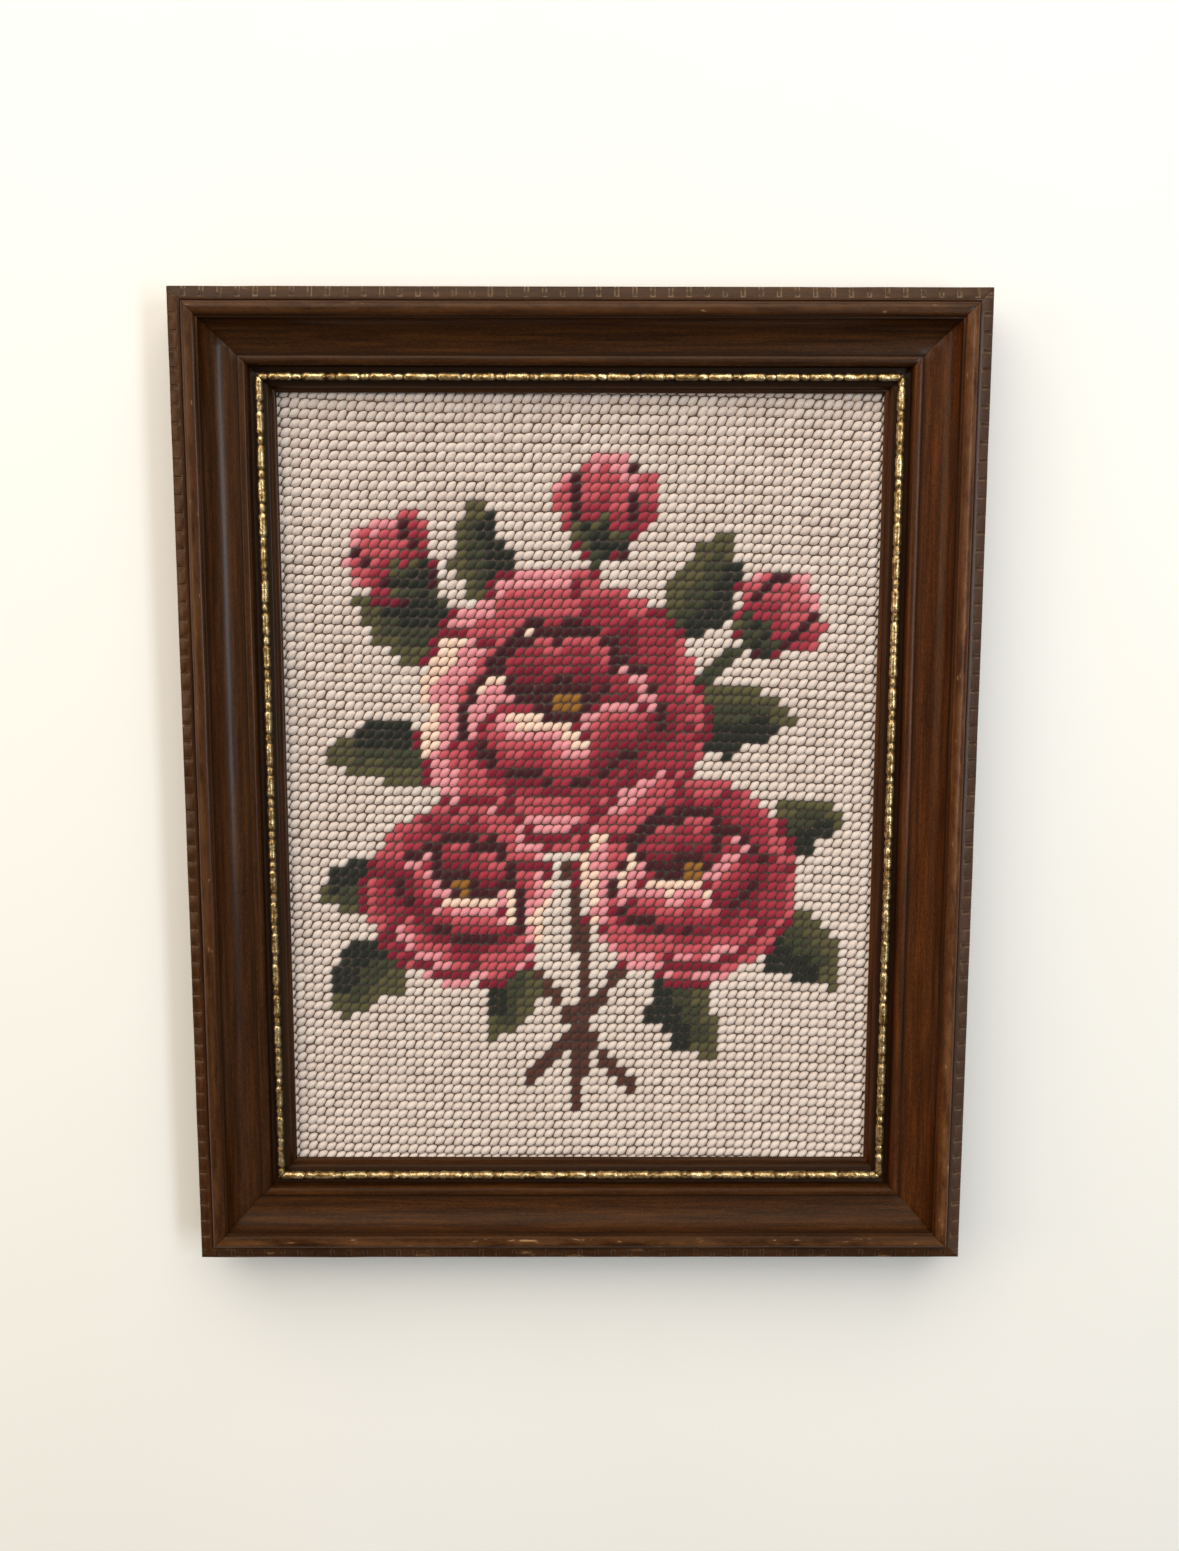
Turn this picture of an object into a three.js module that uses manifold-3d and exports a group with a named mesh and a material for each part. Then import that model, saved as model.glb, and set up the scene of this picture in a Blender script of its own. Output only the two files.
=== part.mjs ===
// A needlepoint picture stretched in its moulded wooden frame, lying on its back.
// Millimetres: X is the picture's right, Y its top and Z its face. The origin is under the frame's middle.
import * as THREE from "three";
import { mergeGeometries, mergeVertices } from "three/addons/utils/BufferGeometryUtils.js";
import Module from "manifold-3d";

const wasm = await Module();
wasm.setup();

// The frame outside, and the gap that pieces keep
const FRAME_WIDTH = 209;
const FRAME_HEIGHT = 259;
const GAP = 0.3;

// The moulding: across is measured inwards from its outer edge, up from its back
const SIGHT_ACROSS = 25.3; // the whole width that shows
const SIGHT_UP = 9.3;
const RABBET_ACROSS = 20.3; // the rebate behind the sight edge, where the cloth sits
const RABBET_UP = 8.6;
const OUTER_UP = 17.6;
const STRIP_START = { across: 0.7, up: 18.3 }; // the notched strip along the outer edge
const STRIP_END = { across: 3.4, up: 18.9 };
const QUIRK = { across: 3.7, up: 18.6 };
const RIDGE_CREST = { across: 5.7, up: 21.4 };
const RIDGE_END = { across: 7.7, up: 20.4 };
const COVE_START = { across: 8.2, up: 20.3 };
const COVE_PULL = { across: 10.0, up: 15.2 }; // the cove bends towards this point
const COVE_END = { across: 16.5, up: 14.8 };
const LIP_CREST = { across: 17.8, up: 15.2 };
const LIP_END = { across: 19.1, up: 13.2 };
const GROOVE_UP = 11.3; // the floor that carries the gilt strip
const GROOVE_END = 23.3;
const SLOPE_END = { across: 24.5, up: 9.6 };
const CURVE_STEPS = 4;

// The notches cut across the outer strip
const NOTCH_PITCH = 4.55;
const NOTCH_WIDTH = 0.9;
const NOTCH_REACH = 2.6; // inwards from the outer edge
const NOTCH_DEPTH = 0.4;
const NOTCH_OVERHANG = 2; // how far the cutter stands proud of the wood
const NOTCH_END_SPACE = 3; // the first notch keeps clear of the mitre

// The gilt bead-and-reel strip
const STRIP_ACROSS = 21.7; // its centre line
const STRIP_UP = 12.7;
const STRIP_FLAT = STRIP_UP - GROOVE_UP - GAP; // from the centre line down to its flat foot
const REEL_PITCH = 8.7;
const REEL_RADIUS = 1.15;
const BEAD_RADIUS = 0.95;
const NECK_RADIUS = 0.62;
const STRIP_SIDES = 6;
const REEL_STATIONS = [
  // share of one unit's length, radius
  { at: 0.0, radius: NECK_RADIUS },
  { at: 0.1, radius: REEL_RADIUS },
  { at: 0.66, radius: REEL_RADIUS },
  { at: 0.76, radius: NECK_RADIUS },
  { at: 0.88, radius: BEAD_RADIUS },
];

// The stitched cloth and the board that it is stretched over
const CLOTH_UP = 8.3;
const CLOTH_THICKNESS = 2;
const CLOTH_UNEVEN = 0.12; // how far its face rises and falls
const CLOTH_SQUARES = { x: 10, y: 13 };
const BOARD_THICKNESS = 3;

const stainedWood = { color: 0x4a2e1c, roughness: 0.42, metalness: 0 };
const gilt = { color: 0xb8924a, roughness: 0.3, metalness: 1 };
const wool = { color: 0xcdb3a4, roughness: 0.95, metalness: 0 };
const hardboard = { color: 0x6d4c33, roughness: 0.85, metalness: 0 };

const mitreGap = (GAP / 2) * Math.SQRT2; // along the rail, at each end

function solidOf(geometry) {
  const bare = geometry.clone();
  bare.deleteAttribute("normal");
  bare.deleteAttribute("uv");
  const merged = mergeVertices(bare, 1e-4);
  return new wasm.Manifold(
    new wasm.Mesh({
      numProp: 3,
      vertProperties: new Float32Array(merged.attributes.position.array),
      triVerts: new Uint32Array(merged.index.array),
    }),
  );
}

function geometryOf(solid) {
  const mesh = solid.getMesh();
  const geometry = new THREE.BufferGeometry();
  geometry.setAttribute("position", new THREE.BufferAttribute(mesh.vertProperties, 3));
  geometry.setIndex(new THREE.BufferAttribute(mesh.triVerts, 1));
  geometry.computeVertexNormals();
  return geometry;
}

// The moulding's section, with x across and y up
function mouldingSection() {
  const section = new THREE.Shape();
  section.moveTo(0, 0);
  section.lineTo(RABBET_ACROSS, 0);
  section.lineTo(RABBET_ACROSS, RABBET_UP);
  section.lineTo(SIGHT_ACROSS, RABBET_UP);
  section.lineTo(SIGHT_ACROSS, SIGHT_UP);
  section.lineTo(SLOPE_END.across, SLOPE_END.up);
  section.lineTo(GROOVE_END, GROOVE_UP);
  section.lineTo(LIP_END.across, GROOVE_UP);
  section.lineTo(LIP_END.across, LIP_END.up);
  section.quadraticCurveTo(LIP_END.across, LIP_CREST.up, LIP_CREST.across, LIP_CREST.up);
  section.quadraticCurveTo(COVE_END.across, LIP_CREST.up, COVE_END.across, COVE_END.up);
  section.quadraticCurveTo(COVE_PULL.across, COVE_PULL.up, COVE_START.across, COVE_START.up);
  section.lineTo(RIDGE_END.across, RIDGE_END.up);
  section.quadraticCurveTo(RIDGE_END.across, RIDGE_CREST.up, RIDGE_CREST.across, RIDGE_CREST.up);
  section.quadraticCurveTo(QUIRK.across, RIDGE_CREST.up, QUIRK.across, QUIRK.up);
  section.lineTo(STRIP_END.across, STRIP_END.up);
  section.lineTo(STRIP_START.across, STRIP_START.up);
  section.lineTo(0, OUTER_UP);
  section.closePath();
  return section;
}

// Cuts both ends of a piece that lies along x to 45 degrees: what lies further across gets shorter
function mitreEnds(geometry, length) {
  const p = geometry.attributes.position;
  const halfLength = length / 2;
  for (let i = 0; i < p.count; i++) {
    const end = Math.abs(p.getX(i)) > halfLength - 1e-3 ? Math.sign(p.getX(i)) : 0;
    p.setX(i, p.getX(i) - end * (p.getY(i) + mitreGap));
  }
  return geometry;
}

// Boxes that lie along the sloping strip, one for each notch
function notchCutters(length) {
  const slope = Math.atan2(
    STRIP_END.up - STRIP_START.up,
    STRIP_END.across - STRIP_START.across,
  );
  const reach = NOTCH_REACH + NOTCH_OVERHANG;
  const count = 2 * Math.floor((length / 2 - NOTCH_END_SPACE) / NOTCH_PITCH) + 1;
  const boxes = [];
  for (let i = 0; i < count; i++) {
    const box = new THREE.BoxGeometry(NOTCH_WIDTH, reach, NOTCH_OVERHANG);
    box.translate(0, reach / 2 - NOTCH_OVERHANG, NOTCH_OVERHANG / 2 - NOTCH_DEPTH);
    box.rotateX(slope);
    box.translate((i - (count - 1) / 2) * NOTCH_PITCH, 0, STRIP_START.up);
    boxes.push(box);
  }
  return mergeGeometries(boxes);
}

// A rail along x, its outer edge on y = 0 and its moulding reaching towards +y
function railGeometry(length) {
  const bar = new THREE.ExtrudeGeometry(mouldingSection(), {
    depth: length,
    bevelEnabled: false,
    curveSegments: CURVE_STEPS,
  });
  const alongX = new THREE.Matrix4().makeBasis(
    new THREE.Vector3(0, 1, 0),
    new THREE.Vector3(0, 0, 1),
    new THREE.Vector3(1, 0, 0),
  );
  bar.applyMatrix4(alongX);
  bar.translate(-length / 2, 0, 0);
  mitreEnds(bar, length);
  return geometryOf(solidOf(bar).subtract(solidOf(notchCutters(length))));
}

// A gilt strip along x, centred on its own axis: reels with a round bead between each two
function giltStripGeometry(railLength) {
  const length = railLength - 2 * STRIP_ACROSS;
  const units = Math.round(length / REEL_PITCH);
  const pitch = length / units;
  const outline = [new THREE.Vector2(0, -length / 2)];
  for (let i = 0; i < units; i++) {
    for (const station of REEL_STATIONS) {
      outline.push(new THREE.Vector2(station.radius, (i + station.at) * pitch - length / 2));
    }
  }
  outline.push(new THREE.Vector2(NECK_RADIUS, length / 2));
  outline.push(new THREE.Vector2(0, length / 2));
  const strip = new THREE.LatheGeometry(outline, STRIP_SIDES);
  strip.rotateZ(-Math.PI / 2);
  const p = strip.attributes.position;
  for (let i = 0; i < p.count; i++) {
    p.setZ(i, Math.max(p.getZ(i), -STRIP_FLAT));
  }
  return mitreEnds(strip, length);
}

// The cloth: a sheet whose face rises and falls a little between its flat edges
function clothGeometry(width, height) {
  const sheet = new THREE.BoxGeometry(
    width,
    height,
    CLOTH_THICKNESS,
    CLOTH_SQUARES.x,
    CLOTH_SQUARES.y,
    1,
  );
  const p = sheet.attributes.position;
  for (let i = 0; i < p.count; i++) {
    const u = (2 * p.getX(i)) / width;
    const v = (2 * p.getY(i)) / height;
    const inner = (1 - u ** 4) * (1 - v ** 4);
    const wave = Math.sin(3.1 * u + 1.7 * v) + 0.6 * Math.cos(5.3 * v - 2.2 * u);
    if (p.getZ(i) > 0) {
      p.setZ(i, p.getZ(i) + CLOTH_UNEVEN * inner * wave);
    }
  }
  return sheet;
}

const picture = new THREE.Group();

const sides = [
  { side: "bottom", length: FRAME_WIDTH, distance: FRAME_HEIGHT / 2, turn: 0 },
  { side: "right", length: FRAME_HEIGHT, distance: FRAME_WIDTH / 2, turn: Math.PI / 2 },
  { side: "top", length: FRAME_WIDTH, distance: FRAME_HEIGHT / 2, turn: Math.PI },
  { side: "left", length: FRAME_HEIGHT, distance: FRAME_WIDTH / 2, turn: -Math.PI / 2 },
];
for (const { side, length, distance, turn } of sides) {
  const group = new THREE.Group();
  group.rotation.z = turn;
  picture.add(group);

  const rail = new THREE.Mesh(railGeometry(length), new THREE.MeshStandardMaterial(stainedWood));
  rail.name = `rail_${side}`;
  rail.position.set(0, -distance, 0);
  group.add(rail);

  const strip = new THREE.Mesh(giltStripGeometry(length), new THREE.MeshStandardMaterial(gilt));
  strip.name = `gilt_strip_${side}`;
  strip.position.set(0, STRIP_ACROSS - distance, STRIP_UP);
  group.add(strip);
}

const rebateWidth = FRAME_WIDTH - 2 * RABBET_ACROSS;
const rebateHeight = FRAME_HEIGHT - 2 * RABBET_ACROSS;
const clothWidth = rebateWidth - 2 * GAP;
const clothHeight = rebateHeight - 2 * GAP;

const cloth = new THREE.Mesh(
  clothGeometry(clothWidth, clothHeight),
  new THREE.MeshStandardMaterial(wool),
);
cloth.name = "needlepoint_cloth";
cloth.position.z = CLOTH_UP - CLOTH_THICKNESS / 2;
picture.add(cloth);

const board = new THREE.Mesh(
  new THREE.BoxGeometry(clothWidth, clothHeight, BOARD_THICKNESS),
  new THREE.MeshStandardMaterial(hardboard),
);
board.name = "backing_board";
board.position.z = CLOTH_UP - CLOTH_THICKNESS - GAP - BOARD_THICKNESS / 2;
picture.add(board);

export default picture;
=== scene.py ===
import math

import bmesh
import bpy
import numpy as np
from mathutils import Matrix, Vector, noise


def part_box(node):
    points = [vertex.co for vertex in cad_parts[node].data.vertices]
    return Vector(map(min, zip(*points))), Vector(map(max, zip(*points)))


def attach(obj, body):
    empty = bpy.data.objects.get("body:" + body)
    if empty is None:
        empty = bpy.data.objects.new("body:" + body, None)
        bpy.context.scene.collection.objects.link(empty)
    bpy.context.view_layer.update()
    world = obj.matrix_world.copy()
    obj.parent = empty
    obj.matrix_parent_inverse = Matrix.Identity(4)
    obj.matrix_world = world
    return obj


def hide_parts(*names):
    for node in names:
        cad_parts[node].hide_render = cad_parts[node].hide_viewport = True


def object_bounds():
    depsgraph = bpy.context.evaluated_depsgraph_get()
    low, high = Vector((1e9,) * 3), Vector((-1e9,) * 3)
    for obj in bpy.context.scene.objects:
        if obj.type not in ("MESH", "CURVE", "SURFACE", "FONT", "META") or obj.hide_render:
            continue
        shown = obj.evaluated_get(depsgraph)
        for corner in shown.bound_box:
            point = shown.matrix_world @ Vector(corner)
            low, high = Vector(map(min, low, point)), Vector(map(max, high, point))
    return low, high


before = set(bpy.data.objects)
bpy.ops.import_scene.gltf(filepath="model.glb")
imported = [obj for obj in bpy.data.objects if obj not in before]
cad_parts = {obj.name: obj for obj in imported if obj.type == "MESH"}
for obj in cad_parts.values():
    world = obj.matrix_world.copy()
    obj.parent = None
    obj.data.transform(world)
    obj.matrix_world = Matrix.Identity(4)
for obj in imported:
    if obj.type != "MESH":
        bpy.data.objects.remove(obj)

mm = 0.001
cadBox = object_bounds()
luck = np.random.default_rng(23)
noise.seed_set(23)  # or noise_vector would start from the clock
print("frame loaded:", len(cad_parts), "nodes")


# Small helpers that every piece uses

def clearSelection():
    bpy.ops.object.select_all(action="DESELECT")


def setActive(piece):
    clearSelection()
    piece.select_set(True)
    bpy.context.view_layer.objects.active = piece


def nameNew(name):
    piece = bpy.context.object
    piece.name = name
    piece.data.name = name
    bpy.ops.object.transform_apply(location=True, rotation=True, scale=True)
    return piece


def applyModifier(piece, kind, **settings):
    setActive(piece)
    modifier = piece.modifiers.new(kind.lower(), kind)
    for key, value in settings.items():
        setattr(modifier, key, value)
    bpy.ops.object.modifier_apply(modifier=modifier.name)


def selectWhere(piece, test):
    shape = bmesh.from_edit_mesh(piece.data)
    for vert in shape.verts:
        vert.select_set(test(vert.co))
    shape.select_flush_mode()
    bmesh.update_edit_mesh(piece.data)


def cutAway(place, normal):
    # in edit mode: what lies beyond the plane goes, and the cut is closed
    bpy.ops.mesh.select_all(action="SELECT")
    normal = Vector(normal).normalized()
    bpy.ops.mesh.bisect(plane_co=place, plane_no=normal, use_fill=True, clear_outer=True)


def faceOutwards():
    # from edit mode back to object mode, with every face turned outwards
    bpy.ops.mesh.select_all(action="SELECT")
    bpy.ops.mesh.normals_make_consistent(inside=False)
    bpy.ops.object.mode_set(mode="OBJECT")


def pointsOf(piece):
    places = np.zeros(len(piece.data.vertices) * 3)
    piece.data.vertices.foreach_get("co", places)
    return places.reshape(-1, 3)


def setPoints(piece, places):
    piece.data.vertices.foreach_set("co", np.asarray(places, float).ravel())
    piece.data.update()


def storeValues(piece, name, values):
    values = np.asarray(values, np.float32)
    kind, key = ("FLOAT_VECTOR", "vector") if values.ndim == 2 else ("FLOAT", "value")
    attribute = piece.data.attributes.new(name, kind, "POINT")
    attribute.data.foreach_set(key, values.ravel())


def roughen(piece, amount, size, seed, growing):
    # the unevenness grows from none at the first height to all of it at the second
    places = pointsOf(piece)
    moved = np.array([noise.noise_vector(Vector(p) / size + Vector((seed, 0, 0))) for p in places])
    share = np.interp(places[:, 2], growing, (0, 1))
    setPoints(piece, places + moved * amount * share[:, None])


def smoothByAngle(piece, degrees):
    setActive(piece)
    bpy.ops.object.shade_smooth_by_angle(angle=math.radians(degrees))


def finishPiece(piece, material):
    piece.data.materials.clear()
    piece.data.materials.append(material)
    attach(piece, "root")


# Material helpers

def tint(red, green, blue):
    # screen colour, 0 to 255, to the light values that shaders take
    shares = [c / 255 for c in (red, green, blue)]
    linear = [c / 12.92 if c < 0.0405 else ((c + 0.055) / 1.055) ** 2.4 for c in shares]
    return (*linear, 1)


def newMaterial(name):
    material = bpy.data.materials.new(name)
    material.use_nodes = True
    tree = material.node_tree
    return material, tree, tree.nodes["Principled BSDF"]


def setInputs(tree, node, values):
    # a socket is linked, and any other value is set on the node's own socket
    for key, value in values.items():
        if isinstance(value, bpy.types.NodeSocket):
            tree.links.new(value, node.inputs[key])
        else:
            node.inputs[key].default_value = value


def addNode(tree, kind, values=(), **settings):
    node = tree.nodes.new(kind)
    for key, value in settings.items():
        setattr(node, key, value)
    setInputs(tree, node, dict(values))
    return node


def readAttribute(tree, name, output="Fac"):
    return addNode(tree, "ShaderNodeAttribute", attribute_name=name).outputs[output]


def objectPlace(tree):
    return addNode(tree, "ShaderNodeTexCoord").outputs["Object"]


def addMath(tree, operation, first, second=0.0):
    return addNode(tree, "ShaderNodeMath", {0: first, 1: second}, operation=operation).outputs[0]


def addWeighted(tree, layers):
    # the sum of the layers, each times its share
    parts = [addMath(tree, "MULTIPLY", layer, share) for layer, share in layers]
    total = parts[0]
    for part in parts[1:]:
        total = addMath(tree, "ADD", total, part)
    return total


def addRamp(tree, factor, stops):
    ramp = addNode(tree, "ShaderNodeValToRGB", {"Fac": factor})
    points = ramp.color_ramp.elements
    while len(points) < len(stops):
        points.new(0.5)
    for point, (place, colour) in zip(points, stops):
        point.position = place
        point.color = colour
    return ramp.outputs["Color"]


def addMix(tree, factor, first, second, blend="MIX"):
    values = {0: factor, 6: first, 7: second}  # 6 and 7 are the node's colour sockets
    return addNode(tree, "ShaderNodeMix", values, data_type="RGBA", blend_type=blend).outputs[2]


def addRampValue(tree, value, low, high):
    # 0 at low, 1 at high, which may be the smaller one, and a soft step between
    node = addNode(tree, "ShaderNodeMapRange", {"Value": value, "From Min": low, "From Max": high})
    node.interpolation_type = "SMOOTHSTEP"
    return node.outputs[0]


def addSpread(tree, share, low, high):
    # low where the share is 0, high where it is 1
    return addNode(tree, "ShaderNodeMapRange", {"Value": share, "To Min": low, "To Max": high}).outputs[0]


def addNoise(tree, vector, scale, detail, roughness):
    values = {"Vector": vector, "Scale": scale, "Detail": detail, "Roughness": roughness}
    return addNode(tree, "ShaderNodeTexNoise", values).outputs["Fac"]


def addBump(tree, height, strength, distance, under=None):
    values = {"Height": height, "Strength": strength, "Distance": distance}
    if under is not None:
        values["Normal"] = under
    return addNode(tree, "ShaderNodeBump", values).outputs["Normal"]


# The camera stands where the picture was looked at from, a little above its middle

view = {
    "place": (0.8 * mm, 60.3 * mm, 409.4 * mm),
    "turn": (-8.05, -0.22, 0.07),  # degrees
    "lens": 34.8,
    "clipStart": 10 * mm,
}

bpy.ops.object.camera_add(location=view["place"], rotation=[math.radians(a) for a in view["turn"]])
cameraObject = bpy.context.object
cameraObject.name = "camera"
cameraObject.data.lens = view["lens"]
cameraObject.data.clip_start = view["clipStart"]
bpy.context.scene.camera = cameraObject
print("camera placed")


# Stained wood: grain runs along each rail, edges are worn to a lighter brown, and hollows are darkened with
# painted shade

stain = {
    "grain": [(0.39, tint(42, 20, 4)), (0.5, tint(66, 35, 9)), (0.61, tint(90, 52, 17))],
    "grainShares": {"streaks": 0.5, "pores": 0.22, "specks": 0.28},
    "red": tint(126, 62, 12),
    "worn": tint(110, 71, 41),
    "chip": tint(164, 122, 82),
    # partly worn edges and partly a painted highlight along the notches, strongest on the top side
    "notchWearAndHighlight": tint(142, 116, 88),
    # partly dust and partly a painted cool sheen on the outer strip, strongest on the right side
    "dustAndSheen": tint(76, 62, 54),
    # painted shade: the dark brown laid into the quirks, the groove beside the gilt and the sight edge
    "shadedHollow": tint(32, 15, 4),
    "roughness": (0.30, 0.45),
    "hollowRoughness": 0.85,
    "specular": 0.17,
    "specularTint": (1, 0.86, 0.68, 1),
    "firstPlace": 3,  # where in the patterns the first rail lies
    "longWays": (0.045, 1, 1),  # draws a pattern out along the rail
    "shortWays": (0.3, 1, 1),
    "rubbedFrom": (0.36, 0.64),
    "chipSoftness": 0.1,
    "chipWear": (0.06, 0.4),  # how worn the wood is where chips begin, and where all of them show
    "brokenFrom": (0.38, 0.6),
    "dentBump": (0.3, 0.3 * mm),  # strength and height
    "grainBump": (0.4, 0.12 * mm),
    "patterns": {  # scale, detail and roughness
        "streaks": (800, 6, 0.65),
        "pores": (2600, 3, 0.6),
        "specks": (2800, 3, 0.6),
        "clouds": (60, 4, 0.55),
        "rubbed": (260, 6, 0.7),
        "chips": (520, 3, 0.6),
        "dents": (260, 3, 0.5),
        "brokenLine": (700, 3, 0.6),
    },
}


def makeStainedWood(name, row):
    material, tree, shader = newMaterial(name)
    s, patterns, shares, shade = stain, stain["patterns"], stain["grainShares"], row["shade"]
    place = readAttribute(tree, "railPlace", "Vector")
    wear = readAttribute(tree, "wear")
    hollowShade = readAttribute(tree, "hollowShade")
    moved = {"Vector": place, "Location": (s["firstPlace"] + row["turn"], 0, 0)}
    longWays = addNode(tree, "ShaderNodeMapping", {**moved, "Scale": s["longWays"]}).outputs[0]
    shortWays = addNode(tree, "ShaderNodeMapping", {**moved, "Scale": s["shortWays"]}).outputs[0]
    clouds = addNoise(tree, shortWays, *patterns["clouds"])
    grain = addWeighted(tree, [
        (addNoise(tree, longWays, *patterns["streaks"]), shares["streaks"]),
        (addNoise(tree, shortWays, *patterns["pores"]), shares["pores"]),
        (addNoise(tree, place, *patterns["specks"]), shares["specks"]),
    ])
    colour = addRamp(tree, grain, s["grain"])
    # painted light and shade: each side's whole stain is darkened or lightened by its own shade
    colour = addMix(tree, 1.0, colour, (shade, shade, shade, 1), "MULTIPLY")
    # red mottling of the stain, set by each side's warmth; the extra on the right side is painted warm
    # light
    colour = addMix(tree, addMath(tree, "MULTIPLY", clouds, row["warmth"]), colour, s["red"], "SOFT_LIGHT")
    rubbed = addRampValue(tree, addNoise(tree, shortWays, *patterns["rubbed"]), *s["rubbedFrom"])
    rubbed = addMath(tree, "MULTIPLY", addMath(tree, "MULTIPLY", wear, rubbed), row["rubbed"])
    # the worn colour takes half of the side's painted light and shade
    worn = [c * (1 + shade) / 2 for c in s["worn"][:3]]
    colour = addMix(tree, rubbed, colour, (*worn, 1))
    chips = addNoise(tree, shortWays, *patterns["chips"])
    chips = addRampValue(tree, chips, row["chips"], row["chips"] + s["chipSoftness"])
    chips = addMath(tree, "MULTIPLY", chips, addRampValue(tree, wear, *s["chipWear"]))
    colour = addMix(tree, chips, colour, s["chip"])
    strip, line = addNotchLines(tree, place, shortWays)
    # the outer strip's grey: partly dust, partly painted cool sheen
    colour = addMix(tree, addMath(tree, "MULTIPLY", strip, row["dustAndSheen"]), colour, s["dustAndSheen"])
    # pale notch lines: partly worn edges, partly painted highlight
    colour = addMix(tree, addMath(tree, "MULTIPLY", line, row["ticks"]), colour, s["notchWearAndHighlight"])
    low, high = (r + row["matt"] for r in s["roughness"])
    gloss = addSpread(tree, clouds, low, high)
    shadedHollow = addMath(tree, "MULTIPLY", hollowShade, s["hollowRoughness"])
    dents = addBump(tree, addNoise(tree, shortWays, *patterns["dents"]), *s["dentBump"])
    coatWeight, coatRoughness = row["coat"]
    setInputs(tree, shader, {
        # painted shade darkens the stain in the hollows
        "Base Color": addMix(tree, hollowShade, colour, s["shadedHollow"]),
        "Roughness": addMath(tree, "MAXIMUM", gloss, shadedHollow),
        "Specular IOR Level": s["specular"],
        "Specular Tint": s["specularTint"],
        "Coat Weight": coatWeight,
        "Coat Roughness": coatRoughness,
        "Normal": addBump(tree, grain, *s["grainBump"], dents),
    })
    return material


def addNotchLines(tree, place, noisePlace):
    # where the outer strip is, and the thin pale line, broken here and there, around each notch
    n = notches
    parts = addNode(tree, "ShaderNodeSeparateXYZ", {"Vector": place})
    half = n["pitch"] / 2
    nearest = addNode(tree, "ShaderNodeMath", {0: parts.outputs["X"], 1: half, 2: -half}, operation="WRAP")
    off = addMath(tree, "ABSOLUTE", nearest.outputs[0])
    off = addMath(tree, "SUBTRACT", off, n["width"] / 2)
    off = addMath(tree, "MAXIMUM", off, addMath(tree, "SUBTRACT", parts.outputs["Y"], n["reach"]))
    line = addRampValue(tree, addMath(tree, "ABSOLUTE", off), *n["line"])
    high = addRampValue(tree, parts.outputs["Z"], *n["stripUp"])
    outer = addRampValue(tree, parts.outputs["Y"], *n["stripAcross"])
    broken = addNoise(tree, noisePlace, *stain["patterns"]["brokenLine"])
    broken = addRampValue(tree, broken, *stain["brokenFrom"])
    strip = addMath(tree, "MULTIPLY", high, outer)
    return strip, addMath(tree, "MULTIPLY", addMath(tree, "MULTIPLY", line, strip), broken)


# The moulding's section: across from the outer edge and up from the back, in mm.
# A stretch with a pull is a bend drawn towards that point.

moulding = {
    "section": [
        {"to": (0, 0)},
        {"to": (20.3, 0)},
        {"to": (20.3, 8.6)},
        {"to": (25.3, 8.6)},
        {"to": (25.3, 9.1)},
        {"to": (24.6, 9.6), "pull": (25.2, 9.6), "steps": 3},
        {"to": (24.4, 9.6)},
        {"to": (23.3, 11.3), "pull": (24.1, 11.0), "steps": 5},
        {"to": (19.1, 11.3)},
        {"to": (19.1, 13.2)},
        {"to": (17.8, 15.2), "pull": (19.1, 15.2), "steps": 6},
        {"to": (16.5, 14.8), "pull": (16.6, 15.2), "steps": 5},
        {"to": (16.2, 14.9)},
        {"to": (8.2, 20.0), "pull": (10.0, 15.2), "steps": 18},
        {"to": (8.1, 20.38)},
        {"to": (7.7, 20.4)},
        {"to": (5.7, 21.4), "pull": (7.6, 21.4), "steps": 8},
        {"to": (3.7, 18.6), "pull": (3.8, 21.4), "steps": 8},
        {"to": (3.4, 18.9)},
        {"to": (0.7, 18.3), "pull": (2.0, 18.8), "steps": 4},
        {"to": (0, 17.6), "pull": (0.1, 18.2), "steps": 3},
    ],
    "gap": 0.035 * mm,  # half of each mitre's, along the rail
    "spare": 1 * mm,  # drawn beyond each mitre, and then cut off
    "station": 4.0 * mm,  # about how far apart the cross-cuts along a rail are
    "edge": 0.06 * mm,
    "edgeAngle": 32,
    "smoothAngle": 30,
    "uneven": 0.07 * mm,
    "unevenSize": 14 * mm,
    "unevenSeed": 7,
    "unevenUp": (1.6 * mm, 17.6 * mm),  # the back stays flat
    # place in the section and how far it spreads, in mm, and how much there is at its middle
    "wear": [
        {"at": (5.4, 21.3), "spread": 1.3, "much": 0.85},
        {"at": (1.8, 18.7), "spread": 1.6, "much": 0.24},
        {"at": (0.3, 17.9), "spread": 0.6, "much": 0.42},
        {"at": (17.8, 15.2), "spread": 0.6, "much": 0.1},
        {"at": (24.8, 9.7), "spread": 0.4, "much": 0.12},
    ],
    # painted shade: in the quirks, the groove beside the gilt, the sight slope and on the sight edge's nose
    "hollowShade": [
        {"at": (3.7, 18.5), "spread": 0.3, "much": 0.55},
        {"at": (8.15, 20.0), "spread": 0.6, "much": 0.75},
        {"at": (16.4, 14.8), "spread": 0.35, "much": 0.9},
        {"at": (19.1, 12.0), "spread": 1.1, "much": 0.95},
        {"at": (21.0, 11.3), "spread": 2.0, "much": 0.95},
        {"at": (23.3, 11.3), "spread": 0.7, "much": 0.8},
        {"at": (24.1, 10.4), "spread": 1.0, "much": 0.45},
        {"at": (24.9, 9.5), "spread": 0.6, "much": 0.35},
    ],
}

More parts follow.
